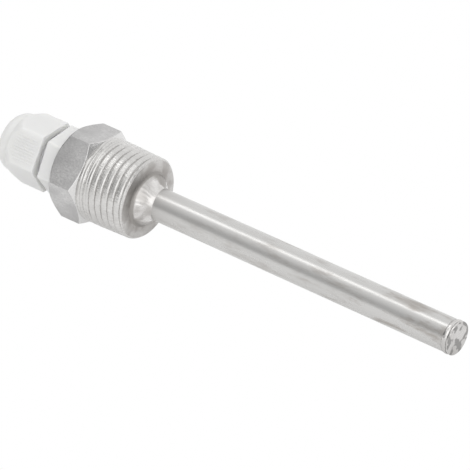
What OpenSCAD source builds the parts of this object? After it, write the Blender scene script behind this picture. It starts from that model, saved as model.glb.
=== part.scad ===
// Screw-in thermowell: a welded stainless sheath on a hexagon head with a
// taper pipe thread, and a nylon clamping gland that grips the probe.
// The closed tip points along +X. x = 0 is the front shoulder of the hexagon,
// where the process thread begins, and one flat of the hexagon faces down.

/* [Hexagon head] */
// Width across the flats of the hexagon bar
hex_af = 21; // [21:0.5:27]
// Length of the hexagon along the axis
hex_len = 8.3; // [7:0.1:14]
// Depth of the turned chamfer on the corners at the gland end
back_chamfer = 1.65; // [0.4:0.05:2]
// Depth of the turned chamfer on the corners at the thread end
front_chamfer = 1.1; // [0.4:0.05:2]

/* [Process thread] */
// Length of the taper thread in front of the hexagon
thread_len = 13.5; // [12:0.5:20]
// Outside diameter of the thread at its gauge plane
gauge_d = 20.955; // [20.5:0.005:21]
// Distance of the gauge plane from the small end
gauge_len = 8.2; // [5:0.1:11]
// Length over which the thread's diameter grows by 1
taper_ratio = 16; // [12:1:30]
// Chamfer at the small end of the thread
thread_lead = 0.55; // [0.2:0.05:1.2]

/* [Sheath] */
// Outside diameter of the sheath tube
tube_d = 8; // [7:0.5:9]
// Wall of the sheath tube
tube_wall = 0.75; // [0.5:0.05:1]
// Distance from the hexagon's shoulder to the closed tip
reach = 102.3; // [60:0.1:400]
// Wall between the gland socket and the seat of the tube
seat_wall = 2.5; // [1.5:0.1:4]
// Radial size of the fillet weld at the head
weld_leg = 3; // [1.5:0.1:4]
// Length of the fillet weld along the tube
weld_run = 3.1; // [1.5:0.1:5]
// Height of the weld's toe on the head
weld_toe = 0.3; // [0.1:0.05:0.6]
// Fullness of the fillet weld beyond a straight chamfer
weld_swell = 0.3; // [0:0.05:0.4]
// Thickness of the disc that closes the tip
disc_t = 1.9; // [1:0.1:4]
// How far the closing disc stands out past the tube
disc_lip = 0.2; // [0.1:0.05:0.5]
// Radius on the outer edge of the closing disc
disc_edge = 0.35; // [0.1:0.05:0.8]
// Crown of the closing weld above the tube
bead_h = 0.25; // [0.1:0.05:0.5]
// Width of the closing weld on the tube
bead_w = 1.5; // [0.8:0.1:3]

/* [Gland body] */
// Wall of the gland's lower thread around the passage
spigot_wall = 2.65; // [1.5:0.05:3]
// Length of the gland's lower thread
spigot_len = 8; // [5:0.1:9]
// Ledge of the flange beyond the lower thread, up to its flats
flange_ledge = 1.5; // [1:0.05:2]
// Thickness of the gland's flange
flange_t = 5; // [3:0.1:8]
// Turn of the gland against the head's hexagon
gland_turn = 16.5; // [0:0.5:60]
// Length of the collar that carries the dome nut
collar_len = 7.5; // [6:0.1:9]
// Wall of the collar around the claw
collar_wall = 1.1; // [0.8:0.05:1.5]

/* [Dome nut] */
// Wall of the nut between its thread and its flats
nut_wall = 1.58; // [1.4:0.01:2.2]
// Radius on the corners of nut and flange
corner_r = 0.7; // [0.5:0.1:2.5]
// Turn of the nut against the flange when finger-tight
nut_turn = 4; // [0:1:60]
// Open distance between flange and nut when finger-tight
nut_gap = 1.55; // [0.3:0.05:2]
// Length of the hexagon part of the nut
nut_hex_len = 9.45; // [8:0.05:11]
// Length of the round end of the nut
dome_len = 4.1; // [3.7:0.1:6]
// Angle of the shoulder that turns the nut's corners down
shoulder_angle = 25; // [20:1:40]
// Step from the nut's flats to the end of its shoulder
shoulder_step = 0.15; // [0.1:0.05:0.4]
// Step from the shoulder's end to the round end
dome_step = 0.25; // [0.1:0.05:0.5]
// Flat ring around the mouth, where the nut's rounded end stops
mouth_lip = 0.1; // [0.1:0.1:2]
// Radial clearance of the nut's mouth over the sheath's bore
mouth_open = 0.65; // [0.5:0.05:1]
// Wall at the nut's end, around the mouth
mouth_land = 0.9; // [0.5:0.1:1.5]
// Grip ribs on each of three flats
rib_count = 9; // [3:1:11]
// Distance between neighbouring grip ribs
rib_pitch = 0.72; // [0.4:0.02:0.76]
// Width of a grip rib
rib_w = 0.3; // [0.1:0.02:0.5]
// Height of the grip ribs above the flat
rib_h = 0.12; // [0.05:0.01:0.2]
// Plain length of the flat at each end of the ribs
rib_margin = 0.5; // [0.2:0.1:2]

/* [Claw and seal] */
// Wall of the rubber seal
seal_wall = 0.8; // [0.6:0.05:1.2]
// Wall of the claw's sleeve around the seal
claw_wall = 0.65; // [0.5:0.05:1]
// Length of the unslit rim that sits on the collar
rim_t = 1; // [0.6:0.1:1.5]
// Number of clamping fingers
fingers = 8; // [4:1:12]
// Length of the fingers beyond the rim
finger_len = 2.6; // [1.5:0.1:2.8]
// Width of the slots between the fingers
slot_w = 0.8; // [0.4:0.05:1.2]
// Foot inside the claw that holds the seal
foot_t = 0.6; // [0.4:0.1:1]
// Distance of the seal's outer end from the finger tips
seal_drop = 0.3; // [0.1:0.1:1]

/* [Clearances] */
// Radial clearance of the tube in the head
tube_fit = 0.02; // [0.01:0.01:0.1]
// Radial clearance of the gland's threads
thread_fit = 0.12; // [0.05:0.01:0.2]
// Clearance of the claw in the collar and in the nut
claw_fit = 0.15; // [0.1:0.01:0.25]
// Radial clearance of the seal in the claw
seal_fit = 0.05; // [0.02:0.01:0.1]
// Radial clearance of the seal's bore over the sheath's bore
seal_open = 0.1; // [0.05:0.01:0.3]
// Radial clearance of the gland's passage over the sheath's bore
passage_open = 0.35; // [0.2:0.05:0.6]
// Space left in front of the gland's lower thread
socket_space = 0.5; // [0.2:0.1:1]

/* [Hidden] */
$fn = 96;

// Overrun of a cutting solid, or of one solid into the next
over = 1;

// The bore that a probe slides in, from the tube's own wall
bore_r = tube_d / 2 - tube_wall;

// Stations along the axis, from the gland to the tip
seat_x = -hex_len;
socket_floor = seat_x + spigot_len + socket_space;
tube_back = socket_floor + seat_wall;
tube_front = reach - disc_t;
disc_r = tube_d / 2 + disc_lip;

hex_corner_r = hex_af / sqrt(3);

// Thread radius at the small end and at the shoulder; the bar's flats
// cut off the crests that would stand higher
small_r = (gauge_d - gauge_len / taper_ratio) / 2;
large_r = small_r + thread_len / taper_ratio / 2;

// Stations of the gland, counted outwards from its seat on the head
collar_u = flange_t;
collar_end = collar_u + collar_len;
nut_u = flange_t + nut_gap;
dome_u = nut_u + nut_hex_len;
nut_end = dome_u + dome_len;
finger_end = collar_end + rim_t + finger_len;

// Radii of the gland, each built on the one inside it
passage_r = bore_r + passage_open;
spigot_r = passage_r + spigot_wall;
flange_af = 2 * (spigot_r + flange_ledge);
seal_in_r = bore_r + seal_open;
seal_r = seal_in_r + seal_wall;
claw_in_r = seal_r + seal_fit;
claw_r = claw_in_r + claw_wall;
claw_seat_r = claw_r + claw_fit;
collar_r = claw_seat_r + collar_wall;
nut_bore_r = collar_r + thread_fit;
nut_af = 2 * (nut_bore_r + nut_wall);
nut_corner_r = nut_af / sqrt(3);
shoulder_r = nut_af / 2 - shoulder_step;
dome_side_r = shoulder_r - dome_step;
mouth_r = bore_r + mouth_open;
dome_r = dome_side_r - mouth_r - mouth_lip;
shoulder_len = (nut_corner_r - shoulder_r) / tan(shoulder_angle);
claw_seat_depth = collar_len + claw_fit;

// The nut's clamping cone runs from its thread to its mouth, and the
// fingers follow it at the claw's clearance
cone_u = collar_end + rim_t;
cone_end = nut_end - mouth_land;
cone_slope = (nut_bore_r - mouth_r) / (cone_end - cone_u);
rim_r = nut_bore_r - claw_fit;
finger_r = rim_r - cone_slope * finger_len;

// Turned part: a list of [radius, x] points spun about the axis
module turned(points) {
    rotate([0, 90, 0]) rotate_extrude() polygon(points);
}

// Gland parts stand on the head's back face and grow away from the tip
module on_gland_seat() {
    translate([seat_x, 0, 0]) rotate([0, -90, 0]) rotate([0, 0, gland_turn]) children();
}

// Hexagon with arcs for corners, at the given width across flats
module soft_hexagon(af, r) {
    centre = (af - 2 * r) / sqrt(3);
    polygon([for (i = [0 : 5], k = [-2.5 : 1 : 2.5]) let (a = i * 60, b = a + k * 12)
        [centre * cos(a) + r * cos(b), centre * sin(a) + r * sin(b)]]);
}

// Half profile of a cylinder with one arc-rounded end
module round_ended(r, len, corner) {
    square([r, len - corner]);
    square([r - corner, len]);
    translate([r - corner, len - corner]) circle(corner);
}

// Hexagon bar with its corners turned down at both ends
module chamfered_hexagon() intersection() {
    translate([seat_x, 0, 0]) rotate([0, 90, 0]) rotate([0, 0, 30])
        cylinder(r = hex_corner_r, h = hex_len, $fn = 6);
    turned([[0, seat_x], [hex_af / 2, seat_x], [hex_corner_r, seat_x + back_chamfer],
            [hex_corner_r, -front_chamfer], [hex_af / 2, 0], [0, 0]]);
}

// Taper of the thread's crests, never wider than the bar it is cut from
module thread_crests() intersection() {
    turned([[0, -over], [large_r, -over], [large_r, 0],
            [small_r + thread_lead / taper_ratio / 2, thread_len - thread_lead],
            [small_r - thread_lead, thread_len], [0, thread_len]]);
    translate([-over, 0, 0]) rotate([0, 90, 0]) cylinder(d = hex_af, h = thread_len + 2 * over);
}

module threaded_head() color("silver") difference() {
    union() {
        chamfered_hexagon();
        thread_crests();
    }
    // Tapped socket for the gland, and the funnel that leads the probe
    // into the bore of the sheath
    turned([[0, seat_x - over], [spigot_r + thread_fit, seat_x - over],
            [spigot_r + thread_fit, socket_floor], [passage_r, socket_floor],
            [bore_r, socket_floor + passage_open], [bore_r, tube_back + over], [0, tube_back + over]]);
    // Bored seat for the tube
    turned([[0, tube_back], [tube_d / 2 + tube_fit, tube_back],
            [tube_d / 2 + tube_fit, thread_len + over], [0, thread_len + over]]);
}

module sheath_tube() color("gainsboro") translate([tube_back, 0, 0]) rotate([0, 90, 0]) difference() {
    cylinder(d = tube_d, h = tube_front - tube_back);
    translate([0, 0, -over]) cylinder(r = bore_r, h = tube_front - tube_back + 2 * over);
}

module head_weld() color("darkgray") turned([
    [tube_d / 2, thread_len],
    [tube_d / 2 + weld_leg, thread_len],
    for (i = [0 : 8]) let (t = i / 8, swell = weld_swell * sin(180 * t))
        [tube_d / 2 + weld_leg * (1 - t) + swell, thread_len + weld_toe * (1 - t) + weld_run * t + swell],
    [tube_d / 2, thread_len + weld_run]
]);

module end_disc() color("darkgray") translate([tube_front, 0, 0]) rotate([0, 90, 0])
    rotate_extrude() round_ended(disc_r, disc_t, disc_edge);

// A low ring of weld over the joint, from the tube's wall to the disc's rim
module end_weld() color("darkgray") turned([
    [tube_d / 2, tube_front],
    for (i = [0 : 8]) let (t = i / 8)
        [tube_d / 2 + disc_lip * t + bead_h * sin(180 * t), tube_front + bead_w * (t - 1) + disc_t / 2 * t],
    [disc_r, tube_front]
]);

module gland_body() color("whitesmoke") on_gland_seat() difference() {
    union() {
        translate([0, 0, -spigot_len]) cylinder(r = spigot_r, h = spigot_len + over);
        linear_extrude(flange_t) soft_hexagon(flange_af, corner_r);
        cylinder(r = collar_r, h = collar_end);
    }
    translate([0, 0, -spigot_len - over]) cylinder(r = passage_r, h = spigot_len + collar_end + 2 * over);
    translate([0, 0, collar_end - claw_seat_depth]) cylinder(r = claw_seat_r, h = claw_seat_depth + over);
}

module clamp_claw() color("white") on_gland_seat() difference() {
    union() {
        translate([0, 0, collar_end - collar_len]) cylinder(r = claw_r, h = collar_len + rim_t);
        translate([0, 0, collar_end]) cylinder(r = rim_r, h = rim_t);
        translate([0, 0, cone_u]) cylinder(r1 = rim_r, r2 = finger_r, h = finger_len);
    }
    translate([0, 0, collar_u + foot_t]) cylinder(r = claw_in_r, h = collar_len + rim_t + finger_len);
    translate([0, 0, collar_u - over]) cylinder(r = passage_r, h = foot_t + 2 * over);
    for (i = [0 : fingers - 1]) rotate(i * 360 / fingers)
        translate([0, -slot_w / 2, cone_u]) cube([rim_r + over, slot_w, finger_len + over]);
}

module seal_bush() color("dimgray") on_gland_seat() translate([0, 0, collar_u + foot_t]) difference() {
    cylinder(r = seal_r, h = finger_end - seal_drop - collar_u - foot_t);
    translate([0, 0, -over]) cylinder(r = seal_in_r, h = finger_end);
}

// Fine ribs along every other flat of the nut. Each is rooted in the wall
// and stops short of the shoulder, which reaches farther back at the corners.
module grip_ribs() for (f = [0 : 2], i = [0 : rib_count - 1])
    let (y = (i - (rib_count - 1) / 2) * rib_pitch,
         reach = norm([nut_af / 2 + rib_h, abs(y) + rib_w / 2]),
         end_u = dome_u - (reach - shoulder_r) / tan(shoulder_angle) - rib_margin)
    rotate(f * 120 + 30) translate([(nut_af - nut_wall) / 2, y - rib_w / 2, nut_u + rib_margin])
        cube([nut_wall / 2 + rib_h, rib_w, end_u - nut_u - rib_margin]);

module dome_nut() color("whitesmoke") on_gland_seat() rotate([0, 0, nut_turn]) difference() {
    union() {
        intersection() {
            translate([0, 0, nut_u - over]) linear_extrude(nut_hex_len + 2 * over) soft_hexagon(nut_af, corner_r);
            // A turned shoulder takes the hexagon's corners down to the round end
            rotate_extrude() polygon([[0, nut_u], [nut_corner_r, nut_u], [nut_corner_r, dome_u - shoulder_len],
                [shoulder_r, dome_u], [0, dome_u]]);
        }
        grip_ribs();
        translate([0, 0, nut_u]) rotate_extrude() round_ended(dome_side_r, nut_end - nut_u, dome_r);
    }
    translate([0, 0, nut_u - over]) cylinder(r = nut_bore_r, h = cone_u - nut_u + over);
    translate([0, 0, cone_u]) cylinder(r1 = nut_bore_r, r2 = mouth_r, h = cone_end - cone_u);
    translate([0, 0, cone_end - over]) cylinder(r = mouth_r, h = mouth_land + 2 * over);
}

threaded_head();
sheath_tube();
head_weld();
end_disc();
end_weld();
gland_body();
clamp_claw();
seal_bush();
dome_nut();
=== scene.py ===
import math
import bmesh
import bpy
from mathutils import Matrix, Vector


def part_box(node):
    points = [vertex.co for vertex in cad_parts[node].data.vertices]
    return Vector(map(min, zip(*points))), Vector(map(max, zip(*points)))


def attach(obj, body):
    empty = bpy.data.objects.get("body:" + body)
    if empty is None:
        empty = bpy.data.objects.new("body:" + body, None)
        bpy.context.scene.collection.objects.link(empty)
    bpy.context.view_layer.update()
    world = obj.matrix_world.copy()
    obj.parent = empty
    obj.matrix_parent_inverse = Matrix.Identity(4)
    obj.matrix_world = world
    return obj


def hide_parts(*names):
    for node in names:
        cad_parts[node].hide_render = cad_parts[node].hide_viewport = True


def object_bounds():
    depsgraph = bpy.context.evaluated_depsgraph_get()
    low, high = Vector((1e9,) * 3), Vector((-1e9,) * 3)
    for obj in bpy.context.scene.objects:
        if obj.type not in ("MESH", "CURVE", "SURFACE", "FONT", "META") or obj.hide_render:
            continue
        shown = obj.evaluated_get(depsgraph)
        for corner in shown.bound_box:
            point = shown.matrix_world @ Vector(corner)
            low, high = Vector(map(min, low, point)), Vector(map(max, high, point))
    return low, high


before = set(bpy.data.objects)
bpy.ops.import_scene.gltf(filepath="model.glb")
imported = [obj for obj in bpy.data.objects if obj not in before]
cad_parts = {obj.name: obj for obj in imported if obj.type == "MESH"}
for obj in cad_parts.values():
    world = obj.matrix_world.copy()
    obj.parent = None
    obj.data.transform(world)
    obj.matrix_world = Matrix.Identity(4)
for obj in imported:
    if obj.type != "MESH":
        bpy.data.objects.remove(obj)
cad_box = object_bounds()
scene = bpy.context.scene

# ---------------------------------------------------------------- camera
# A long lens in front of the closed tip's side, looking down along the
# sheath towards the gland.
view_azimuth = math.radians(33.35)
view_elevation = math.radians(25.04)
view_roll = math.radians(8.66)
aim = Vector((0.03899, 0.00035, 0.00062))
distance = 0.841
back = Vector((math.sin(view_azimuth) * math.cos(view_elevation),
               -math.cos(view_azimuth) * math.cos(view_elevation),
               math.sin(view_elevation)))
level = Vector((math.cos(view_azimuth), math.sin(view_azimuth), 0))
upright = back.cross(level)
right = math.cos(view_roll) * level + math.sin(view_roll) * upright
upward = math.cos(view_roll) * upright - math.sin(view_roll) * level


def turned_to(place, x_axis, y_axis, z_axis):
    """The matrix that puts an object at place, with its axes along these directions."""
    return Matrix.Translation(place) @ Matrix((x_axis, y_axis, z_axis)).transposed().to_4x4()


camera_data = bpy.data.cameras.new("camera")
camera_data.sensor_width = 36
camera_data.lens = 277.87
camera_data.clip_start = 0.05
camera_data.clip_end = 20
camera = bpy.data.objects.new("camera", camera_data)
scene.collection.objects.link(camera)
camera.matrix_world = turned_to(aim + back * distance, right, upward, back)
scene.camera = camera

# ---------------------------------------------------------------- studio
# A white table in a white room that is darker behind the camera, and one
# long soft box overhead, in line with the sheath.
scene.view_settings.view_transform = "Standard"
room = bpy.data.worlds.new("room")
room.use_nodes = True
scene.world = room


def node(tree, kind, links=(), **settings):
    """One node of a tree: its settings, and its inputs as values or as sockets to join."""
    made = tree.nodes.new(kind)
    for name, value in settings.items():
        setattr(made, name, value)
    for key, value in dict(links).items():
        socket = made.inputs[key]
        if isinstance(value, bpy.types.NodeSocket):
            tree.links.new(value, socket)
        else:
            socket.default_value = value
    return made


def maths(tree, operation, a, b=0.0, c=0.0):
    """The result of one Math node."""
    return node(tree, "ShaderNodeMath", {0: a, 1: b, 2: c}, operation=operation).outputs[0]


def ramp(tree, value, low, high, to_low, to_high, kind="SMOOTHSTEP"):
    """value, carried from low..high to to_low..to_high and held beyond them."""
    return node(tree, "ShaderNodeMapRange", {0: value, 1: low, 2: high, 3: to_low, 4: to_high},
                interpolation_type=kind).outputs[0]


# How much the dark wall takes off the room's light, how bright the far
# wall is, how dark the two ends are against the dark wall, and what the
# reflector in front adds.
dark_share = 0.43
far_glow = 1.07
tip_wall_share = 1.5
gland_wall_share = 1.9
reflector_glow = 0.65
tree = room.node_tree
direction = node(tree, "ShaderNodeTexCoord").outputs["Generated"]
side = node(tree, "ShaderNodeSeparateXYZ", {0: direction})


def across(axis, low, high, to_low=0.0, to_high=1.0):
    """A fade across the room along one axis, from to_low to to_high."""
    return ramp(tree, side.outputs[axis], low, high, to_low, to_high)


def both(a, b):
    """The product of two fades across the room."""
    return maths(tree, "MULTIPLY", a, b)


lower_wall = across("Z", 0.25, 0.84, 1.0, 0.0)
front_wall = across("Y", -0.1, -0.75)
above_table = across("Z", -0.12, 0.06)
off_side = maths(tree, "ABSOLUTE", maths(tree, "ADD", side.outputs["X"], 0.5))
beside_head = ramp(tree, off_side, 0.2, 0.55, 1.0, 0.0)
shade = both(both(lower_wall, front_wall), both(above_table, beside_head))
tip_wall = both(across("X", 0.6, 0.85, 0.0, tip_wall_share), across("Z", 0.45, 0.75, 1.0, 0.0))
tip_wall = both(tip_wall, across("Y", -0.4, -0.1))
shade = maths(tree, "MAXIMUM", shade, both(tip_wall, above_table))
gland_wall = both(across("X", -0.62, -0.8, 0.0, gland_wall_share), across("Z", 0.2, 0.6, 1.0, 0.0))
shade = maths(tree, "MAXIMUM", shade, gland_wall)
far_wall = across("Y", 0.0, 0.5, 1.0, far_glow)
reflector = both(across("Y", -0.2, -0.6, 0.0, reflector_glow), across("X", -0.3, 0.1))
walls = maths(tree, "SUBTRACT", far_wall, both(shade, dark_share))
strength = maths(tree, "ADD", walls, reflector)
background = tree.nodes["Background"]
background.inputs["Color"].default_value = (1, 1, 1, 1)
tree.links.new(strength, background.inputs["Strength"])

box_light = bpy.data.lights.new("soft box", "AREA")
box_light.shape = "RECTANGLE"
box_light.size = 0.9
box_light.size_y = 0.2
box_light.energy = 0.72
soft_box = bpy.data.objects.new("soft box", box_light)
scene.collection.objects.link(soft_box)
box_place = aim + Vector((-0.50, -0.17, 0.85))
box_back = (box_place - aim).normalized()
box_side = Vector((0, 1, 0)).cross(box_back).normalized()
soft_box.matrix_world = turned_to(box_place, box_side, box_back.cross(box_side), box_back)
soft_box.visible_camera = False

# The part rests on the thread's front crest and on its closed tip, so
# the table leans with that line. It stays just clear of both.
tip_gap = 0.00005
table_gap = 0.0001
rest_back = Vector((0.0129, 0, -0.01027))
rest_front = Vector((cad_box[1][0], 0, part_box("end_disc")[0].z - tip_gap))
slope = (rest_front.z - rest_back.z) / (rest_front.x - rest_back.x)
table_half = 3.0
table_mesh = bpy.data.meshes.new("table")
corners = [(x * table_half, y * table_half) for x, y in ((-1, -1), (1, -1), (1, 1), (-1, 1))]
table_mesh.from_pydata([(x, y, rest_back.z + slope * (x - rest_back.x) - table_gap) for x, y in corners],
                       [], [(0, 1, 2, 3)])
table = bpy.data.objects.new("table", table_mesh)
scene.collection.objects.link(table)
table_white = bpy.data.materials.new("table white")
table_white.use_nodes = True
tree = table_white.node_tree
tree.nodes.clear()
# The table is plain white to the camera. Elsewhere part of it is lit
# paper, and polished metal mirrors it brighter than the rest sees it.
table_glow = 0.85
mirrored_glow = 0.45
glow_share = 0.45
paper = node(tree, "ShaderNodeBsdfDiffuse", {"Color": (0.86, 0.86, 0.86, 1)}).outputs[0]
path = node(tree, "ShaderNodeLightPath")
seen = path.outputs["Is Camera Ray"]
glossy_gain = maths(tree, "MULTIPLY_ADD", path.outputs["Is Glossy Ray"], mirrored_glow, table_glow)
brightness = maths(tree, "MULTIPLY_ADD", seen, 1 - table_glow, glossy_gain)
glare = node(tree, "ShaderNodeEmission", {"Color": (1, 1, 1, 1), "Strength": brightness}).outputs[0]
glow = maths(tree, "MULTIPLY_ADD", seen, 1 - glow_share, glow_share)
surface = node(tree, "ShaderNodeMixShader", {0: glow, 1: paper, 2: glare}).outputs[0]
node(tree, "ShaderNodeOutputMaterial", {"Surface": surface})
table_mesh.materials.append(table_white)

# ---------------------------------------------------------------- hexagon of the head
# Stainless hexagon bar, turned down in front to carry the taper thread. The
# corners are chamfered on the lathe at both ends, and the flats keep the
# drawn bar's fine grain and a few small pits.
mm = 0.001
hex_flats = 21 * mm
hex_back = -8.3 * mm
back_chamfer = 1.65 * mm
front_chamfer = 1.1 * mm
socket_r = 6.37 * mm
socket_floor = 0.2 * mm
tube_seat_r = 4.02 * mm
hex_corner_r = 0.1 * mm
core_r = 8.8 * mm
tube_back = 2.7 * mm
tube_bore_r = 3.25 * mm


def eased(corners, steps=3):
    """A closed outline of (x, r, ease): each corner is rounded over its ease along both sides."""
    most = 0.46
    outline = []
    for i, (x, r, ease) in enumerate(corners):
        here = Vector((x, r))
        before = Vector(corners[i - 1][:2]) - here
        after = Vector(corners[(i + 1) % len(corners)][:2]) - here
        if not ease:
            outline.append((x, r))
            continue
        reach = min(ease, most * before.length, most * after.length)
        start, end = here + before.normalized() * reach, here + after.normalized() * reach
        for k in range(steps + 1):
            t = k / steps
            outline.append(tuple(start * (1 - t) ** 2 + here * 2 * t * (1 - t) + end * t * t))
    return outline


def lathe(name, outline_at, angles, sharp=32):
    """A closed ring about the axis: outline_at(angle) gives its outline as (x, r) points."""
    shape = bmesh.new()
    rings = []
    for angle in angles:
        rings.append([shape.verts.new((x, r * math.cos(angle), r * math.sin(angle)))
                      for x, r in outline_at(angle)])
    for i, ring in enumerate(rings):
        other = rings[(i + 1) % len(rings)]
        for k in range(len(ring)):
            n = (k + 1) % len(ring)
            shape.faces.new((ring[k], ring[n], other[n], other[k]))
    bmesh.ops.remove_doubles(shape, verts=shape.verts, dist=1e-7)
    bmesh.ops.dissolve_degenerate(shape, edges=shape.edges, dist=1e-8)
    bmesh.ops.delete(shape, geom=[e for e in shape.edges if not e.link_faces], context="EDGES")
    bmesh.ops.recalc_face_normals(shape, faces=shape.faces)
    mesh = bpy.data.meshes.new(name)
    shape.to_mesh(mesh)
    shape.free()
    mesh.shade_smooth()
    mesh.set_sharp_from_angle(angle=math.radians(sharp))
    piece = bpy.data.objects.new(name, mesh)
    scene.collection.objects.link(piece)
    return piece


def even_angles(count):
    """Angles all the way round, evenly spaced."""
    return [i * 2 * math.pi / count for i in range(count)]


def flat_angles(turn):
    """Angles round a hexagon that has a corner at turn, closer together towards its corners."""
    steps = (-30, -29.2, -28.4, -27.6, -26.6, -25, -22.5, -19, -15, -10, -5,
             0, 5, 10, 15, 19, 22.5, 25, 26.6, 27.6, 28.4, 29.2)
    return [turn + math.radians(30 + 60 * flat + step) for flat in range(6) for step in steps]


def hexagon_reach(angle, turn, flats, corner):
    """Distance from the axis to a hexagon with arcs for corners and a corner at turn."""
    off = abs((angle - turn) % math.radians(60) - math.radians(30))
    centre = (flats - 2 * corner) / math.sqrt(3)
    if math.tan(off) * flats / 2 <= centre / 2:
        return flats / 2 / math.cos(off)
    lean = math.radians(30) - off
    return centre * math.cos(lean) + math.sqrt(corner ** 2 - (centre * math.sin(lean)) ** 2)


face_edge = hex_flats / 2 - 0.12 * mm
hex_corner = hex_flats / math.sqrt(3)
back_slope = back_chamfer / (hex_corner - face_edge)
front_slope = front_chamfer / (hex_corner - face_edge)


def head_outline(angle):
    """The hexagon with its bored socket behind, and the core that fills the thread in front."""
    reach = hexagon_reach(angle, 0.0, hex_flats, hex_corner_r)
    rise = reach - face_edge
    return eased([
        (socket_floor, tube_seat_r - 0.4 * mm, 0),
        (socket_floor, socket_r, 0),
        (hex_back + 0.5 * mm, socket_r, 0),
        (hex_back, socket_r + 0.5 * mm, 0.1 * mm),
        (hex_back, face_edge, 0.25 * mm),
        (hex_back + rise * back_slope, reach, 0.2 * mm),
        (-rise * front_slope, reach, 0.1 * mm),
        (0, face_edge, 0.2 * mm),
        (0, core_r, 0),
        (tube_back, core_r, 0),
        (tube_back, tube_bore_r, 0),
        (socket_floor + 0.35 * mm, tube_bore_r, 0),
    ])


hexagon = lathe("head_hexagon", head_outline, flat_angles(0.0))
# Faces that look towards the tip (the front chamfer and front face) are marked as turned: a real turned
# finish, made lighter than the bar as a painted highlight; the back chamfer, turned too, keeps the bar's
# colour.
turned_highlight_faces = hexagon.data.attributes.new("turned", "FLOAT", "FACE")
for face in hexagon.data.polygons:
    turned_highlight_faces.data[face.index].value = 1.0 if face.normal.x > 0.3 else 0.0


def effect(name, sockets_in, sockets_out):
    """A shader node group with named inputs (name, kind, value) and outputs (name, kind)."""
    group = bpy.data.node_groups.new(name, "ShaderNodeTree")
    for title, kind, value in sockets_in:
        socket = group.interface.new_socket(title, in_out="INPUT", socket_type=kind)
        if value is not None:
            socket.default_value = value
    for title, kind in sockets_out:
        group.interface.new_socket(title, in_out="OUTPUT", socket_type=kind)
    return group, node(group, "NodeGroupInput"), node(group, "NodeGroupOutput")


# Fine rings that a lathe tool leaves: they follow the axis on round
# faces and the radius on end faces. Their spacing is in millimetres.
tool_marks, given, result = effect("tool marks", [("Vector", "NodeSocketVector", None),
                                                  ("Spacing", "NodeSocketFloat", 0.1)],
                                   [("Height", "NodeSocketFloat")])
apart = node(tool_marks, "ShaderNodeSeparateXYZ", {0: given.outputs["Vector"]})
radial = maths(tool_marks, "SQRT", maths(tool_marks, "ADD",
               maths(tool_marks, "MULTIPLY", apart.outputs["Y"], apart.outputs["Y"]),
               maths(tool_marks, "MULTIPLY", apart.outputs["Z"], apart.outputs["Z"])))
per_metre = 1000.0
along = maths(tool_marks, "MULTIPLY", maths(tool_marks, "ADD", apart.outputs["X"], radial), per_metre)
along = maths(tool_marks, "DIVIDE", along, given.outputs["Spacing"])
rings = node(tool_marks, "ShaderNodeTexNoise", {"W": along, "Scale": 1.0, "Detail": 2.0, "Roughness": 0.6},
             noise_dimensions="1D").outputs["Fac"]
tool_marks.links.new(rings, result.inputs["Height"])

# Grain of the metal: soft patches, fine speckle, and small dark pits.
grain, given, result = effect("metal grain", [("Vector", "NodeSocketVector", None),
                                              ("Pits", "NodeSocketFloat", 0.5)],
                              [("Patches", "NodeSocketFloat"), ("Speckle", "NodeSocketFloat"),
                               ("Pit", "NodeSocketFloat")])
spread = given.outputs["Vector"]
patches = node(grain, "ShaderNodeTexNoise", {"Vector": spread, "Scale": 160.0, "Detail": 3.0,
                                             "Roughness": 0.55}).outputs["Fac"]
speckle = node(grain, "ShaderNodeTexNoise", {"Vector": spread, "Scale": 2300.0, "Detail": 2.0,
                                             "Roughness": 0.7}).outputs["Fac"]
spots = node(grain, "ShaderNodeTexVoronoi", {"Vector": spread, "Scale": 330.0}, feature="F1")
near = ramp(grain, spots.outputs["Distance"], 0.05, 0.16, 1.0, 0.0)
chosen = node(grain, "ShaderNodeSeparateColor", {0: spots.outputs["Color"]}).outputs[0]
few = maths(grain, "GREATER_THAN", maths(grain, "ADD", chosen, given.outputs["Pits"]), 1.44)
grain.links.new(patches, result.inputs["Patches"])
grain.links.new(speckle, result.inputs["Speckle"])
grain.links.new(maths(grain, "MULTIPLY", near, few), result.inputs["Pit"])


def place(tree, kind):
    """One placed shader group."""
    return node(tree, "ShaderNodeGroup", node_tree=kind)


def mixed(tree, share, a, b):
    """Colour a turned towards colour b by share."""
    return node(tree, "ShaderNodeMix", {0: share, 6: a, 7: b}, data_type="RGBA").outputs[2]


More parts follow.
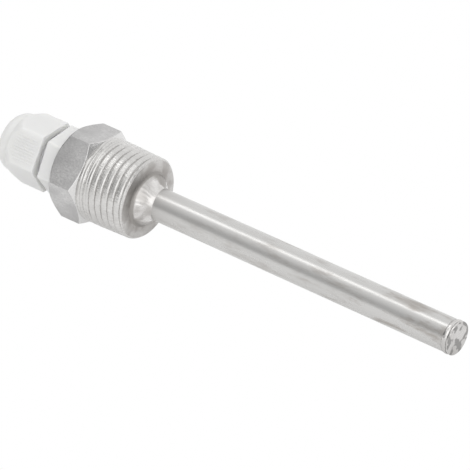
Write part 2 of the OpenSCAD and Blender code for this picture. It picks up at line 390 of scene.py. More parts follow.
def steel(name, light, dark, roughness, pits=0.4, marks=0.1, marks_depth=0.15, grain_depth=0.25,
          speckled=0.35, draw=(1, 1, 1)):
    """Stainless steel: two greys in patches, its sheen, and bumps from the lathe and from its grain."""
    pit_colour = (0.10, 0.095, 0.09, 1)
    sheen_spread = 0.16
    mark_height = 0.06 * mm
    grain_height = 0.05 * mm
    made = bpy.data.materials.new(name)
    made.use_nodes = True
    tree = made.node_tree
    shader = tree.nodes["Principled BSDF"]
    where = node(tree, "ShaderNodeTexCoord").outputs["Object"]
    drawn = node(tree, "ShaderNodeMapping", {"Vector": where, "Scale": draw}).outputs[0]
    fine = place(tree, grain)
    tree.links.new(drawn, fine.inputs["Vector"])
    fine.inputs["Pits"].default_value = pits
    lines = place(tree, tool_marks)
    tree.links.new(where, lines.inputs["Vector"])
    lines.inputs["Spacing"].default_value = marks
    tone = mixed(tree, ramp(tree, fine.outputs["Patches"], 0.3, 0.7, 0.0, 1.0, "LINEAR"), light, dark)
    tone = mixed(tree, ramp(tree, fine.outputs["Speckle"], 0.35, 0.7, 0.0, speckled, "LINEAR"), tone, dark)
    tone = mixed(tree, fine.outputs["Pit"], tone, pit_colour)
    tree.links.new(tone, shader.inputs["Base Color"])
    shader.inputs["Metallic"].default_value = 1.0
    sheen = maths(tree, "MULTIPLY_ADD", fine.outputs["Patches"], sheen_spread, roughness - sheen_spread / 2)
    tree.links.new(sheen, shader.inputs["Roughness"])
    first = node(tree, "ShaderNodeBump", {"Strength": marks_depth, "Distance": mark_height,
                                          "Height": lines.outputs["Height"]}).outputs[0]
    relief = maths(tree, "SUBTRACT", fine.outputs["Speckle"], fine.outputs["Pit"])
    second = node(tree, "ShaderNodeBump", {"Strength": grain_depth, "Distance": grain_height,
                                           "Height": relief, "Normal": first}).outputs[0]
    tree.links.new(second, shader.inputs["Normal"])
    return made


bar_steel = steel("bar steel", (0.66, 0.655, 0.65, 1), (0.42, 0.415, 0.415, 1), 0.38,
                  pits=0.62, marks_depth=0.08, grain_depth=1.6, speckled=0.8, draw=(0.7, 1, 1))
turned_highlight_grey = (0.70, 0.695, 0.69, 1)


def recolour(material, mask, tone, roughness):
    """Where mask(tree) is 1, the material takes this colour and this roughness instead."""
    tree = material.node_tree
    shader = tree.nodes["Principled BSDF"]
    share = mask(tree)
    for key, other in (("Base Color", tone), ("Roughness", roughness)):
        before = shader.inputs[key].links[0].from_socket
        if key == "Base Color":
            after = mixed(tree, share, before, other)
        else:
            after = node(tree, "ShaderNodeMix", {0: share, 2: before, 3: other}).outputs[0]
        tree.links.new(after, shader.inputs[key])


# The tip-facing turned faces take a lighter grey and a smoother finish: partly their turned finish, partly a
# painted highlight.
recolour(bar_steel, lambda tree: node(tree, "ShaderNodeAttribute", attribute_name="turned").outputs["Fac"],
         turned_highlight_grey, 0.25)
hexagon.data.materials.append(bar_steel)
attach(hexagon, "well")
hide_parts("threaded_head")

# ---------------------------------------------------------------- taper thread
# The process thread, cut on the same bar: one groove winds round the taper,
# shallower where the tool runs out against the hexagon. A ring of the
# head's end face closes it in front, where the tube is welded in.
thread_small_r = 10.2213 * mm
thread_end = 13.5 * mm
thread_pitch = 1.814 * mm
thread_taper = 1 / 32
thread_depth = 0.23 * mm


def open_tree(name, inputs):
    """A Geometry Nodes tree with named inputs (name, kind, value)."""
    made = bpy.data.node_groups.new(name, "GeometryNodeTree")
    made.interface.new_socket("Geometry", in_out="INPUT", socket_type="NodeSocketGeometry")
    made.interface.new_socket("Geometry", in_out="OUTPUT", socket_type="NodeSocketGeometry")
    for title, kind, value in inputs:
        socket = made.interface.new_socket(title, in_out="INPUT", socket_type=kind)
        if value is not None:
            socket.default_value = value
    return made, node(made, "NodeGroupInput"), node(made, "NodeGroupOutput")


def grown(name, tree, values):
    """Runs a Geometry Nodes tree with these input values, and gives its result as a plain object."""
    seed = bpy.data.objects.new(name + " seed", bpy.data.meshes.new(name + " seed"))
    scene.collection.objects.link(seed)
    modifier = seed.modifiers.new(name, "NODES")
    modifier.node_group = tree
    for item in tree.interface.items_tree:
        if item.item_type == "SOCKET" and item.in_out == "INPUT" and item.name in values:
            modifier[item.identifier] = values[item.name]
    bpy.context.view_layer.update()
    mesh = bpy.data.meshes.new_from_object(seed.evaluated_get(bpy.context.evaluated_depsgraph_get()))
    bpy.data.objects.remove(seed)
    mesh.name = name
    made = bpy.data.objects.new(name, mesh)
    scene.collection.objects.link(made)
    return made


winding, given, result = open_tree("winding", [
    ("Length", "NodeSocketFloat", 0.0135), ("Pitch", "NodeSocketFloat", 0.001814),
    ("Turns", "NodeSocketFloat", 10.0), ("Steps", "NodeSocketInt", 1281),
    ("Start", "NodeSocketFloat", -0.002),
    ("Root Radius", "NodeSocketFloat", 0.01), ("Taper", "NodeSocketFloat", 0.03125),
    ("Widest", "NodeSocketFloat", 0.0105), ("Depth", "NodeSocketFloat", 0.0004),
    ("Crest", "NodeSocketFloat", 0.5), ("Flank", "NodeSocketFloat", 0.125),
    ("Crease", "NodeSocketFloat", 0.0), ("Run Out", "NodeSocketFloat", 0.002),
    ("Side Groove", "NodeSocketFloat", 0.3),
    ("Lead", "NodeSocketFloat", 0.0005), ("Pocket", "NodeSocketFloat", 0.0),
    ("Pocket Angle", "NodeSocketFloat", 0.0), ("Material", "NodeSocketMaterial", None)])
put = given.outputs


def add(a, b):
    """Sum of two values of the winding."""
    return maths(winding, "ADD", a, b)


def less(a, b):
    """The first value of the winding without the second."""
    return maths(winding, "SUBTRACT", a, b)


def times(a, b):
    """Product of two values of the winding."""
    return maths(winding, "MULTIPLY", a, b)


def fading(low, high, to_low, to_high, kind="LINEAR"):
    """A value that changes along the thread, from to_low at low to to_high at high."""
    return ramp(winding, station, low, high, to_low, to_high, kind)


def groove(centre, half_floor, flank):
    """1 in the floor of a groove that is centred at this share of the pitch, 0 outside it."""
    off = maths(winding, "ABSOLUTE", less(share, centre))
    return ramp(winding, off, half_floor, add(half_floor, flank), 1.0, 0.0)


# A sheet of cells is wound up into the helix: its length becomes the
# turns, and its width is one pitch.
across_pitch = 17
cells = node(winding, "GeometryNodeMeshGrid", {"Size X": 1.0, "Size Y": 1.0, "Vertices X": put["Steps"],
                                               "Vertices Y": across_pitch})
flat = node(winding, "ShaderNodeSeparateXYZ", {0: node(winding, "GeometryNodeInputPosition").outputs[0]})
turn = times(add(flat.outputs["X"], 0.5), put["Turns"])
free = maths(winding, "MULTIPLY_ADD", add(add(flat.outputs["Y"], 0.5), turn), put["Pitch"], put["Start"])
station = node(winding, "ShaderNodeClamp", {0: free, 1: 0.0, 2: put["Length"]}).outputs[0]
angle = times(turn, 2 * math.pi)
spare_turns = 64.0      # keep the phase above zero, where its fraction is taken
phase = less(maths(winding, "DIVIDE", less(station, put["Start"]), put["Pitch"]), turn)
share = maths(winding, "FRACT", add(phase, spare_turns))

# The main groove with a crease in its floor, and a narrower one on the
# crest, which is deepest beside the shoulder and soon fades out.
crease_flank = 0.12
side_floor = 0.03
side_groove_end = 4.2 * mm
shallowest = 0.25
half_gap = times(less(1.0, put["Crest"]), 0.5)
middle = less(1.0, half_gap)
valley = groove(middle, less(half_gap, put["Flank"]), put["Flank"])
main = add(valley, times(groove(middle, 0.0, crease_flank), put["Crease"]))
run_out = fading(0.0, put["Run Out"], shallowest, 1.0)
on_crest = groove(times(put["Crest"], 0.5), side_floor, crease_flank)
extra = times(on_crest, times(put["Side Groove"], fading(0.0, side_groove_end, 1.0, 0.0)))
depth = times(add(times(main, run_out), extra), put["Depth"])

# A small hollow beside the shoulder, where the tool was drawn out.
pocket_from, pocket_to = 0.4 * mm, 1.4 * mm
pocket_narrowness = 55.0
facing = maths(winding, "MULTIPLY_ADD", maths(winding, "COSINE", less(angle, put["Pocket Angle"])), 0.5, 0.5)
pocket = times(maths(winding, "POWER", facing, pocket_narrowness),
               times(put["Pocket"], fading(pocket_from, pocket_to, 1.0, 0.0, "SMOOTHSTEP")))

# The taper, never wider than the bar, with a chamfer at its front end.
crest_r = maths(winding, "MINIMUM", less(put["Root Radius"], times(station, put["Taper"])), put["Widest"])
cut_r = less(less(crest_r, depth), pocket)
end_r = less(put["Root Radius"], times(put["Length"], put["Taper"]))
lead_r = add(less(end_r, put["Lead"]), less(put["Length"], station))
radius = maths(winding, "MINIMUM", cut_r, lead_r)
spot = node(winding, "ShaderNodeCombineXYZ", {0: station, 1: times(radius, maths(winding, "COSINE", angle)),
                                              2: times(radius, maths(winding, "SINE", angle))})
bent = node(winding, "GeometryNodeSetPosition", {"Geometry": cells.outputs["Mesh"],
                                                 "Position": spot.outputs[0]})
welded = node(winding, "GeometryNodeMergeByDistance", {"Geometry": bent.outputs[0], "Distance": 0.004 * mm})
single = node(winding, "GeometryNodeRealizeInstances", {"Geometry": welded.outputs[0]})
coated = node(winding, "GeometryNodeSetMaterial", {"Geometry": single.outputs[0],
                                                   "Material": put["Material"]})
winding.links.new(coated.outputs[0], result.inputs["Geometry"])


def close_ends(piece, front, rear, sharp=30):
    """Closes an open threaded skin: rings of (x, r) draw its front and its rear rim in to one bore."""
    shape = bmesh.new()
    shape.from_mesh(piece.data)
    bmesh.ops.dissolve_degenerate(shape, edges=shape.edges, dist=1e-8)
    middle = sum(v.co.x for v in shape.verts) / len(shape.verts)
    last = []
    for rings, ahead in ((front, True), (rear, False)):
        rim = [e for e in shape.edges if e.is_boundary and (e.verts[0].co.x > middle) == ahead]
        for x, r in rings:
            made = bmesh.ops.extrude_edge_only(shape, edges=rim)["geom"]
            for v in (g for g in made if isinstance(g, bmesh.types.BMVert)):
                reach = math.hypot(v.co.y, v.co.z)
                v.co = (x, v.co.y / reach * r, v.co.z / reach * r)
            rim = [g for g in made if isinstance(g, bmesh.types.BMEdge)]
        last.append(rim)
    bmesh.ops.bridge_loops(shape, edges=last[0] + last[1])
    bmesh.ops.recalc_face_normals(shape, faces=shape.faces)
    shape.to_mesh(piece.data)
    shape.free()
    piece.data.shade_smooth()
    piece.data.set_sharp_from_angle(angle=math.radians(sharp))


cut_steel = steel("cut steel", (0.70, 0.692, 0.682, 1), (0.54, 0.532, 0.52, 1), 0.21,
                  pits=0.2, marks=0.34, marks_depth=1.0, grain_depth=2.2, speckled=0.8, draw=(0.3, 1, 1))


def end_face_shade_and_stain(tree):
    """1 on the head's end face beside the weld, less towards its rim: painted shade in the corner by the
    weld, broken by stain patches.
    """
    where = node(tree, "ShaderNodeTexCoord").outputs["Object"]
    apart = node(tree, "ShaderNodeSeparateXYZ", {0: where})
    sideways = node(tree, "ShaderNodeCombineXYZ", {1: apart.outputs["Y"], 2: apart.outputs["Z"]}).outputs[0]
    radius = node(tree, "ShaderNodeVectorMath", {0: sideways}, operation="LENGTH").outputs["Value"]
    face = ramp(tree, apart.outputs["X"], thread_end - 0.25 * mm, thread_end - 0.03 * mm, 0.0, 1.0)
    stain = node(tree, "ShaderNodeTexNoise", {"Vector": where, "Scale": 420.0, "Detail": 3.0}).outputs["Fac"]
    share = maths(tree, "MULTIPLY_ADD", ramp(tree, stain, 0.35, 0.65, 0.0, 1.0), 0.4,
                  ramp(tree, radius, 6.9 * mm, 9.6 * mm, 0.6, 0.2))
    return maths(tree, "MULTIPLY", face, share)


# The end face is painted darker towards the weld: painted shade in that corner, with stain patches on top.
recolour(cut_steel, end_face_shade_and_stain, (0.36, 0.34, 0.325, 1), 0.5)
thread = grown("process_thread", winding, {
    "Length": thread_end, "Pitch": thread_pitch, "Turns": 10.0, "Steps": 1281, "Start": -1.2 * thread_pitch,
    "Root Radius": thread_small_r + thread_end * thread_taper, "Taper": thread_taper, "Widest": hex_flats / 2,
    "Depth": thread_depth, "Crest": 0.44, "Flank": 0.26, "Crease": 1.1, "Run Out": 2.6 * mm,
    "Side Groove": 1.0, "Lead": 0.55 * mm, "Pocket": 0.5 * mm, "Pocket Angle": math.radians(120),
    "Material": cut_steel})
close_ends(thread, [(thread_end, 9.4 * mm), (thread_end, 7.2 * mm), (thread_end, tube_seat_r)],
           [(0.0, 8.6 * mm), (0.0, tube_seat_r)])
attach(thread, "well")
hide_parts("threaded_head")

# ---------------------------------------------------------------- sheath tube
# Drawn seamless stainless tube, ground and buffed along its length, seated
# in the head and welded there.
tube_r = 4.0 * mm
tube_front = 100.4 * mm
tube = lathe("sheath_tube_skin", lambda angle: [
    (tube_back, tube_bore_r), (tube_back, tube_r), (35 * mm, tube_r), (70 * mm, tube_r), (tube_front, tube_r),
    (tube_front, tube_bore_r)], even_angles(144))
tube_steel = steel("buffed tube steel", (0.60, 0.594, 0.585, 1), (0.55, 0.545, 0.535, 1), 0.27,
                   pits=0.0, marks=0.6, marks_depth=0.03, grain_depth=0.10, draw=(0.12, 1, 1))


def heated_zone(tree):
    """1 where heat has dulled the tube: a fade from the weld at the head, and blots towards the tip."""
    where = node(tree, "ShaderNodeTexCoord").outputs["Object"]
    along = node(tree, "ShaderNodeSeparateXYZ", {0: where}).outputs["X"]
    drawn = node(tree, "ShaderNodeMapping", {"Vector": where, "Scale": (0.22, 1, 1)}).outputs[0]
    blots = node(tree, "ShaderNodeTexNoise", {"Vector": drawn, "Scale": 420.0, "Detail": 4.0,
                                              "Roughness": 0.65}).outputs["Fac"]
    by_tip = maths(tree, "MULTIPLY", ramp(tree, along, 34 * mm, 98 * mm, 0.45, 1.0),
                   ramp(tree, blots, 0.48, 0.68, 0.0, 1.0))
    return maths(tree, "MAXIMUM", ramp(tree, along, 16 * mm, 30 * mm, 0.25, 0.0), by_tip)


recolour(tube_steel, heated_zone, (0.40, 0.38, 0.36, 1), 0.38)
tube.data.materials.append(tube_steel)
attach(tube, "well")
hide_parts("sheath_tube")

# ---------------------------------------------------------------- weld at the head
# Fillet weld that joins the tube to the head: a full bead laid in steps, with
# a rippled crown and an uneven toe.
weld_leg = 3.0 * mm
weld_run = 3.5 * mm
weld_ripple = 0.018 * mm
weld_swell = 0.07 * mm
weld_inside = 0.05 * mm


def wander(angle, seed, waves=((1, 0.5), (2, 0.35), (3, 0.3), (5, 0.2), (8, 0.12))):
    """A slow uneven line round the axis, between about -1 and 1."""
    return sum(share * math.sin(n * angle + seed * (n * 1.7 + 0.6)) for n, share in waves)


def weld_outline(angle):
    """The fillet's section: a low toe on the head, then a full crown that runs down to the tube."""
    section = ((0.0, 3.0), (0.12, 2.75), (0.3, 2.5), (0.62, 2.3), (1.0, 2.12), (1.4, 1.84), (1.75, 1.5),
               (2.1, 1.1), (2.45, 0.68), (2.8, 0.34), (3.15, 0.12), (weld_run / mm, 0.02))
    points = [(thread_end - weld_inside, tube_r), (thread_end - weld_inside, tube_r + weld_leg)]
    stretch = 1 + 0.2 * math.cos(angle - math.radians(165))
    for i, (along, rise) in enumerate(section):
        t = i / (len(section) - 1)
        along *= 1 + (stretch - 1) * t
        full = math.sin(math.pi * t)
        ripple = weld_ripple * math.sin(34 * angle + 5 * full) * full
        swell = ripple + weld_swell * wander(angle + 2.5 * t, 1.2) * full
        points.append((thread_end + along * mm + swell, tube_r + rise * mm + swell))
    points.append((thread_end + weld_run * stretch, tube_r))
    return points


head_bead = lathe("head_weld_bead", weld_outline, even_angles(288), sharp=50)
weld_metal = steel("weld metal", (0.80, 0.79, 0.78, 1), (0.56, 0.545, 0.53, 1), 0.22,
                   pits=0.3, marks=0.3, marks_depth=0.05, grain_depth=0.35)


def toe_shade_and_oxide(tree):
    """1 on the fillet's toe, painted shade in its crease, and in oxide patches higher up, weighted as painted
    shade to the far side and the underside.
    """
    where = node(tree, "ShaderNodeTexCoord").outputs["Object"]
    apart = node(tree, "ShaderNodeSeparateXYZ", {0: where}).outputs
    oxide = node(tree, "ShaderNodeTexNoise", {"Vector": where, "Scale": 330.0, "Detail": 4.0}).outputs["Fac"]
    # The toe darkens the crease against the head's face: painted shade.
    toe = ramp(tree, apart["X"], thread_end + 0.45 * mm, thread_end + 0.95 * mm, 1.0, 0.0)
    # Oxide patches count fully on the far side and underneath, less in front and above: painted shade.
    far_side_shade = ramp(tree, apart["Y"], -1.5 * mm, 1.0 * mm, 0.5, 1.0)
    underside_shade = ramp(tree, apart["Z"], -1.5 * mm, -4.0 * mm, 0.25, 1.0)
    patch = maths(tree, "MULTIPLY", ramp(tree, oxide, 0.38, 0.60, 0.0, 0.9),
                  maths(tree, "MAXIMUM", far_side_shade, underside_shade))
    return maths(tree, "MAXIMUM", toe, patch)


fillet_metal = weld_metal.copy()
fillet_metal.name = "fillet metal"
# The fillet's toe and its far and under sides are painted darker: painted shade, with oxide patches.
recolour(fillet_metal, toe_shade_and_oxide, (0.33, 0.315, 0.30, 1), 0.4)
head_bead.data.materials.append(fillet_metal)
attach(head_bead, "well")
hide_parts("head_weld")

# ---------------------------------------------------------------- closed tip
# A stainless disc closes the tube. The weld round its joint leaves two low
# ridges, and the end face is dressed flat but keeps shallow ripples.
disc_r = 4.1 * mm
disc_wander = 0.05 * mm
tip_x = 102.3 * mm


def disc_outline(angle):
    """The disc's section, with a dressed face that is a little uneven."""
    rim = disc_r + disc_wander * wander(angle, 0.7)
    return eased([(tube_front, 0.0, 0), (tube_front, rim - 0.12 * mm, 0.05 * mm),
                  (tip_x - 0.75 * mm, rim - 0.14 * mm, 0.1 * mm), (tip_x - 0.45 * mm, rim, 0.15 * mm),
                  (tip_x - 0.02 * mm, rim - 0.02 * mm, 0.3 * mm),
                  (tip_x - 0.05 * mm, 3.0 * mm, 0.4 * mm), (tip_x - 0.12 * mm, 1.4 * mm, 0.4 * mm),
                  (tip_x - 0.1 * mm, 0.0, 0)], 4)


tip_disc = lathe("tip_disc", disc_outline, even_angles(180), sharp=50)
tip_metal = weld_metal.copy()
tip_metal.name = "dressed tip metal"


def tip_stains(tree):
    """Dark patches on the dressed end face, where the grinder has not reached."""
    where = node(tree, "ShaderNodeTexCoord").outputs["Object"]
    along = node(tree, "ShaderNodeSeparateXYZ", {0: where}).outputs["X"]
    blots = node(tree, "ShaderNodeTexNoise", {"Vector": where, "Scale": 430.0, "Detail": 2.0,
                                              "Roughness": 0.45}).outputs["Fac"]
    face = ramp(tree, along, tip_x - 0.3 * mm, tip_x - 0.15 * mm, 0.3, 1.0)
    return maths(tree, "MULTIPLY", face, ramp(tree, blots, 0.5, 0.58, 0.25, 0.9))


recolour(tip_metal, tip_stains, (0.26, 0.255, 0.25, 1), 0.45)
tip_disc.data.materials.append(tip_metal)
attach(tip_disc, "well")
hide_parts("end_disc")


ring_crown = 0.16 * mm
ring_ripple = 0.015 * mm
ring_from, ring_to = 0.05 * mm, 1.15 * mm
ring_steps = 12


def ring_outline(angle):
    """The weld ring's section over the joint of tube and disc."""
    points = [(tube_front + 0.1 * mm, tube_r - 0.03 * mm)]
    for i in range(ring_steps + 1):
        t = i / ring_steps
        crown = ring_crown * math.sin(math.pi * t) * (1 + 0.3 * wander(angle, 3.4))
        ripple = ring_ripple * math.sin(30 * angle + 4 * t) * math.sin(math.pi * t)
        points.append((tube_front + ring_from * (1 - t) + ring_to * t, tube_r + crown + ripple))
    points.append((tube_front + 1.1 * mm, tube_r - 0.03 * mm))
    return points


tip_bead = lathe("tip_weld_bead", ring_outline, even_angles(240), sharp=50)
tip_bead.data.materials.append(tip_metal)
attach(tip_bead, "well")
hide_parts("end_weld")

# ---------------------------------------------------------------- gland body
# Moulded white nylon gland: a threaded spigot screwed into the head, a
# hexagon flange, and a threaded collar that carries the dome nut.
gland_turn = math.radians(16.5)
flange_flats = 15.5 * mm
flange_t = 5.0 * mm
spigot_r = 6.25 * mm
spigot_len = 8.0 * mm
collar_r = 6.1 * mm
collar_end = 12.5 * mm
passage_r = 3.6 * mm
claw_seat_r = 5.0 * mm
claw_floor = 5.0 * mm - 0.15 * mm
flange_corner = 0.7 * mm


def on_axis(turn):
    """Angle about the axis of a gland part's corner that is turned by this much."""
    return math.pi / 2 - turn


def out(u):
    """Station along the axis of a point this far out from the gland's seat."""
    return hex_back - u


def gland_outline(angle):
    """Flange with moulded edges, with the root of the collar's thread and the spigot's core."""
    reach = hexagon_reach(angle, on_axis(gland_turn), flange_flats, flange_corner)
    return eased([
        (out(-spigot_len), passage_r, 0.15 * mm), (out(-spigot_len), spigot_r - 0.5 * mm, 0.3 * mm),
        (out(0.0), spigot_r - 0.5 * mm, 0), (out(0.0), reach, 0.22 * mm), (out(flange_t), reach, 0.28 * mm),
        (out(flange_t), collar_r - 0.6 * mm, 0.15 * mm), (out(collar_end), collar_r - 0.6 * mm, 0.2 * mm),
        (out(collar_end), claw_seat_r, 0.1 * mm), (out(claw_floor), claw_seat_r, 0),
        (out(claw_floor), passage_r, 0.1 * mm)])


gland = lathe("gland_body_moulding", gland_outline, flat_angles(on_axis(gland_turn)))

# Moulded surface: very shallow waves where the plastic has shrunk, and a
# fine etched grain.
moulded, given, result = effect("moulded surface", [("Vector", "NodeSocketVector", None)],
                                [("Waves", "NodeSocketFloat"), ("Etch", "NodeSocketFloat")])
spread = given.outputs["Vector"]
waves = node(moulded, "ShaderNodeTexNoise", {"Vector": spread, "Scale": 190.0, "Detail": 1.0}).outputs["Fac"]
etch = node(moulded, "ShaderNodeTexNoise", {"Vector": spread, "Scale": 3200.0, "Detail": 2.0}).outputs["Fac"]
moulded.links.new(waves, result.inputs["Waves"])
moulded.links.new(etch, result.inputs["Etch"])

nylon = bpy.data.materials.new("white nylon")
nylon.use_nodes = True
tree = nylon.node_tree
shader = tree.nodes["Principled BSDF"]
where = node(tree, "ShaderNodeTexCoord").outputs["Object"]
skin = place(tree, moulded)
tree.links.new(where, skin.inputs["Vector"])
tone = mixed(tree, skin.outputs["Waves"], (0.73, 0.73, 0.725, 1), (0.71, 0.71, 0.70, 1))
tree.links.new(tone, shader.inputs["Base Color"])
tree.links.new(maths(tree, "MULTIPLY_ADD", skin.outputs["Etch"], 0.2, 0.38), shader.inputs["Roughness"])
shader.inputs["Subsurface Weight"].default_value = 0.6
shader.inputs["Subsurface Radius"].default_value = (2.5 * mm, 2.5 * mm, 2.3 * mm)
shader.inputs["Subsurface Scale"].default_value = 1.0
soft = node(tree, "ShaderNodeBump", {"Strength": 0.25, "Distance": 0.1 * mm,
                                     "Height": skin.outputs["Waves"]}).outputs[0]
relief = node(tree, "ShaderNodeBump", {"Strength": 0.12, "Distance": 0.03 * mm,
                                       "Height": skin.outputs["Etch"], "Normal": soft}).outputs[0]
tree.links.new(relief, shader.inputs["Normal"])
gland.data.materials.append(nylon)
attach(gland, "well")
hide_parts("gland_body")


def threaded_sleeve(name, from_u, to_u, crest, inner, pitch, depth):
    """A plastic thread round the gland, from one station to another, on its moulded core."""
    steps_a_turn = 96
    length = to_u - from_u
    turns = math.ceil(length / pitch) + 2
    piece = grown(name, winding, {
        "Length": length, "Pitch": pitch, "Turns": float(turns), "Steps": turns * steps_a_turn + 1,
        "Start": -1.3 * pitch,
        "Root Radius": crest, "Taper": 0.0, "Widest": crest, "Depth": depth, "Crest": 0.3, "Flank": 0.25,
        "Run Out": pitch, "Side Groove": 0.0, "Lead": depth, "Pocket": 0.0, "Pocket Angle": 0.0,
        "Material": nylon})
    close_ends(piece, [(length, inner)], [(0.0, inner)])
    piece.data.transform(Matrix.Translation((hex_back - to_u, 0, 0)))
    return piece


collar_thread = threaded_sleeve("collar_thread", flange_t, collar_end - 0.3 * mm, collar_r,
                                collar_r - 0.7 * mm, pitch=1.27 * mm, depth=0.5 * mm)
spigot_thread = threaded_sleeve("spigot_thread", -spigot_len + 0.4 * mm, 0.0, spigot_r,
                                spigot_r - 0.6 * mm, pitch=1.5 * mm, depth=0.45 * mm)
for piece in (collar_thread, spigot_thread):
    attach(piece, "well")
    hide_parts("gland_body")

# ---------------------------------------------------------------- claw
# Slit nylon sleeve inside the nut: its fingers are pressed in by the nut's
# cone and close the seal on the probe.
# Its solid's loose triangles are joined, and its edges eased.
claw_edge = 0.08 * mm
claw = bpy.data.objects.new("claw_sleeve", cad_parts["clamp_claw"].data.copy())
scene.collection.objects.link(claw)
shape = bmesh.new()
shape.from_mesh(claw.data)
bmesh.ops.remove_doubles(shape, verts=shape.verts, dist=1e-6)
shape.to_mesh(claw.data)
shape.free()
claw.data.shade_smooth()
claw.data.set_sharp_from_angle(angle=math.radians(30))
claw.data.materials.clear()
claw.data.materials.append(nylon)
eased_edges = claw.modifiers.new("eased edges", "BEVEL")
eased_edges.width = claw_edge
eased_edges.segments = 2
eased_edges.limit_method = "ANGLE"
eased_edges.angle_limit = math.radians(50)
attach(claw, "clamp_set")
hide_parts("clamp_claw")

# ---------------------------------------------------------------- seal
# Moulded rubber bush that stands on the claw's foot. The claw's fingers
# close it on the probe.
seal_r = 4.15 * mm
seal_bore_r = 3.35 * mm
seal_from, seal_to = 5.6 * mm, 15.8 * mm
seal = lathe("seal_ring", lambda angle: eased([
    (out(seal_from), seal_bore_r, 0.2 * mm), (out(seal_from), seal_r, 0.2 * mm),
    (out(seal_to), seal_r, 0.2 * mm), (out(seal_to), seal_bore_r, 0.2 * mm)]), even_angles(96))
rubber = bpy.data.materials.new("black rubber")
rubber.use_nodes = True
tree = rubber.node_tree
shader = tree.nodes["Principled BSDF"]
skin = place(tree, moulded)
tree.links.new(node(tree, "ShaderNodeTexCoord").outputs["Object"], skin.inputs["Vector"])
tone = mixed(tree, skin.outputs["Waves"], (0.030, 0.030, 0.030, 1), (0.045, 0.045, 0.045, 1))
tree.links.new(tone, shader.inputs["Base Color"])
tree.links.new(maths(tree, "MULTIPLY_ADD", skin.outputs["Etch"], 0.2, 0.55), shader.inputs["Roughness"])
relief = node(tree, "ShaderNodeBump", {"Strength": 0.3, "Distance": 0.04 * mm,
                                       "Height": skin.outputs["Etch"]}).outputs[0]
tree.links.new(relief, shader.inputs["Normal"])
seal.data.materials.append(rubber)
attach(seal, "clamp_set")
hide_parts("seal_bush")

# ---------------------------------------------------------------- dome nut
# Moulded white nylon nut: a hexagon whose corners run out in a turned
# shoulder, a stepped round end with the probe's mouth, and fine grip ribs
# on every other flat.
nut_turn = gland_turn + math.radians(4)
nut_flats = 15.6 * mm
nut_corner = 0.7 * mm
nut_from = 6.55 * mm
nut_shoulder_end = 16.0 * mm
nut_end = 20.1 * mm
shoulder_r = 7.65 * mm
dome_side_r = 7.4 * mm
dome_r = 3.4 * mm
shoulder_slope = math.tan(math.radians(25))
nut_bore_r = 6.22 * mm
mouth_r = 3.9 * mm
cone_from = 13.5 * mm
cone_to = 19.2 * mm
nut_sharp = 28
dome_steps = 14


def nut_outline(angle):
    """Flats, shoulder, step and round end outside; thread bore, cone and mouth inside."""
    reach = hexagon_reach(angle, on_axis(nut_turn), nut_flats, nut_corner)
    shoulder_from = nut_shoulder_end - (reach - shoulder_r) / shoulder_slope
    side = eased([
        (out(nut_from), nut_bore_r, 0.2 * mm), (out(nut_from), reach, 0.22 * mm),
        (out(shoulder_from), reach, 0.5 * mm), (out(nut_shoulder_end), shoulder_r, 0.08 * mm),
        (out(nut_shoulder_end), dome_side_r, 0.05 * mm), (out(nut_end - dome_r), dome_side_r, 0)])
    arc_from = math.acos((mouth_r - dome_side_r + dome_r) / dome_r)
    dome = []
    for k in range(1, dome_steps + 1):
        lean = arc_from * k / dome_steps
        dome.append((out(nut_end - dome_r + dome_r * math.sin(lean)),
                     dome_side_r - dome_r + dome_r * math.cos(lean)))
    return side + dome + [(out(cone_to), mouth_r), (out(cone_from), nut_bore_r)]


nut = lathe("dome_nut_moulding", nut_outline, flat_angles(on_axis(nut_turn)), sharp=nut_sharp)
nut.data.materials.append(nylon)

ribbing, given, result = open_tree("ribbing", [
    ("Count", "NodeSocketInt", 9), ("Spacing", "NodeSocketFloat", 0.00072),
    ("Width", "NodeSocketFloat", 0.0003), ("Height", "NodeSocketFloat", 0.00012),
    ("Flat", "NodeSocketFloat", 0.0078), ("Start", "NodeSocketFloat", -0.0155),
    ("Shoulder", "NodeSocketFloat", -0.0238), ("Shoulder Radius", "NodeSocketFloat", 0.00765),
    ("Slope", "NodeSocketFloat", 0.466), ("Turn", "NodeSocketFloat", 0.0),
    ("Material", "NodeSocketMaterial", None)])
put = given.outputs


def sized(operation, a, b=0.0, c=0.0):
    """The result of one Math node of the ribbing."""
    return maths(ribbing, operation, a, b, c)


def point(x=0.0, y=0.0, z=0.0):
    """A place or a size of the ribbing, from its three parts."""
    return node(ribbing, "ShaderNodeCombineXYZ", {0: x, 1: y, 2: z}).outputs[0]


# One row of points on a flat, each moved to the middle of its rib. A rib
# ends where the turned shoulder cuts down to its height.
half_span = sized("MULTIPLY", sized("SUBTRACT", put["Count"], 1.0), sized("MULTIPLY", put["Spacing"], 0.5))
row = node(ribbing, "GeometryNodeMeshLine", {
    "Count": put["Count"],
    "Start Location": point(put["Start"], put["Flat"], sized("MULTIPLY", half_span, -1.0)),
    "Offset": point(z=put["Spacing"])}, mode="OFFSET")
spot = node(ribbing, "ShaderNodeSeparateXYZ", {0: node(ribbing, "GeometryNodeInputPosition").outputs[0]})
rib_side = sized("MULTIPLY_ADD", put["Width"], 0.5, sized("ABSOLUTE", spot.outputs["Z"]))
rib_top = sized("ADD", put["Flat"], put["Height"])
rib_reach = sized("SQRT", sized("MULTIPLY_ADD", rib_side, rib_side, sized("MULTIPLY", rib_top, rib_top)))
run_out = sized("DIVIDE", sized("SUBTRACT", rib_reach, put["Shoulder Radius"]), put["Slope"])
rib_length = sized("SUBTRACT", put["Start"], sized("ADD", put["Shoulder"], run_out))
centred = node(ribbing, "GeometryNodeSetPosition", {
    "Geometry": row.outputs["Mesh"], "Offset": point(sized("MULTIPLY", rib_length, -0.5))})

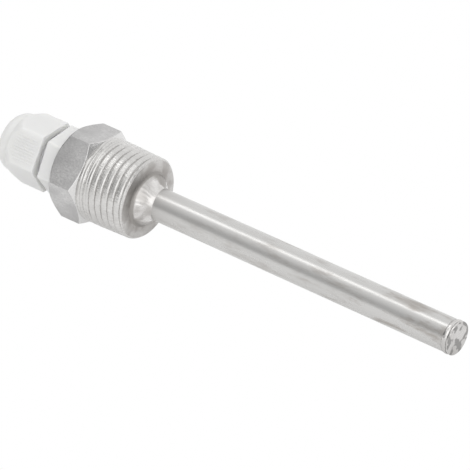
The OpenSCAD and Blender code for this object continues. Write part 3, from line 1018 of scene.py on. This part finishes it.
# One rib: a ball pulled out along the axis, with blunt ends.
bluntness = 0.22
ball = node(ribbing, "GeometryNodeMeshUVSphere", {"Segments": 12, "Rings": 10, "Radius": 1.0})
lying = node(ribbing, "GeometryNodeTransform", {"Geometry": ball.outputs["Mesh"],
                                                "Rotation": (0, math.pi / 2, 0)})
of_ball = node(ribbing, "ShaderNodeSeparateXYZ", {0: node(ribbing, "GeometryNodeInputPosition").outputs[0]})
stretched = sized("MULTIPLY", sized("SIGN", of_ball.outputs["X"]),
                  sized("POWER", sized("ABSOLUTE", of_ball.outputs["X"]), bluntness))
pulled = node(ribbing, "GeometryNodeSetPosition", {
    "Geometry": lying.outputs[0], "Position": point(stretched, of_ball.outputs["Y"], of_ball.outputs["Z"])})
one_rib = node(ribbing, "GeometryNodeTransform", {
    "Geometry": pulled.outputs[0], "Scale": point(0.5, put["Height"], sized("MULTIPLY", put["Width"], 0.5))})
ribs = node(ribbing, "GeometryNodeInstanceOnPoints", {
    "Points": centred.outputs[0], "Instance": one_rib.outputs[0], "Scale": point(rib_length, 1.0, 1.0)})

# The same row on every other flat.
ribbed_flats = 3
gathered = node(ribbing, "GeometryNodeJoinGeometry")
for flat_number in range(ribbed_flats):
    spin = point(sized("ADD", put["Turn"], flat_number * 2 * math.pi / ribbed_flats))
    moved = node(ribbing, "GeometryNodeTransform", {"Geometry": ribs.outputs[0], "Rotation": spin})
    ribbing.links.new(moved.outputs[0], gathered.inputs[0])
single = node(ribbing, "GeometryNodeRealizeInstances", {"Geometry": gathered.outputs[0]})
coated = node(ribbing, "GeometryNodeSetMaterial", {"Geometry": single.outputs[0],
                                                   "Material": put["Material"]})
ribbing.links.new(coated.outputs[0], result.inputs["Geometry"])

rib_margin = 0.5 * mm
grip_ribs = grown("grip_ribs", ribbing, {
    "Count": 9, "Spacing": 0.72 * mm, "Width": 0.34 * mm, "Height": 0.12 * mm, "Flat": nut_flats / 2,
    "Start": out(nut_from + rib_margin), "Shoulder": out(nut_shoulder_end - rib_margin),
    "Shoulder Radius": shoulder_r, "Slope": shoulder_slope, "Turn": on_axis(nut_turn) - math.radians(30),
    "Material": nylon})


def settle(piece):
    """Makes a piece's modifiers its plain mesh, without the slivers that they leave."""
    bpy.context.view_layer.update()
    mesh = bpy.data.meshes.new_from_object(piece.evaluated_get(bpy.context.evaluated_depsgraph_get()))
    piece.modifiers.clear()
    sliver = 0.002 * mm
    shape = bmesh.new()
    shape.from_mesh(mesh)
    bmesh.ops.remove_doubles(shape, verts=shape.verts, dist=sliver)
    bmesh.ops.dissolve_degenerate(shape, edges=shape.edges, dist=sliver)
    bmesh.ops.triangulate(shape, faces=[f for f in shape.faces if len(f.verts) > 4])
    bmesh.ops.dissolve_degenerate(shape, edges=shape.edges, dist=sliver)
    shape.to_mesh(mesh)
    shape.free()
    piece.data = mesh


joined = nut.modifiers.new("ribs", "BOOLEAN")
joined.operation = "UNION"
joined.solver = "EXACT"
joined.object = grip_ribs
settle(nut)
bpy.data.objects.remove(grip_ribs)
nut.data.shade_smooth()
nut.data.set_sharp_from_angle(angle=math.radians(nut_sharp))
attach(nut, "nut")
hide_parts("dome_nut")
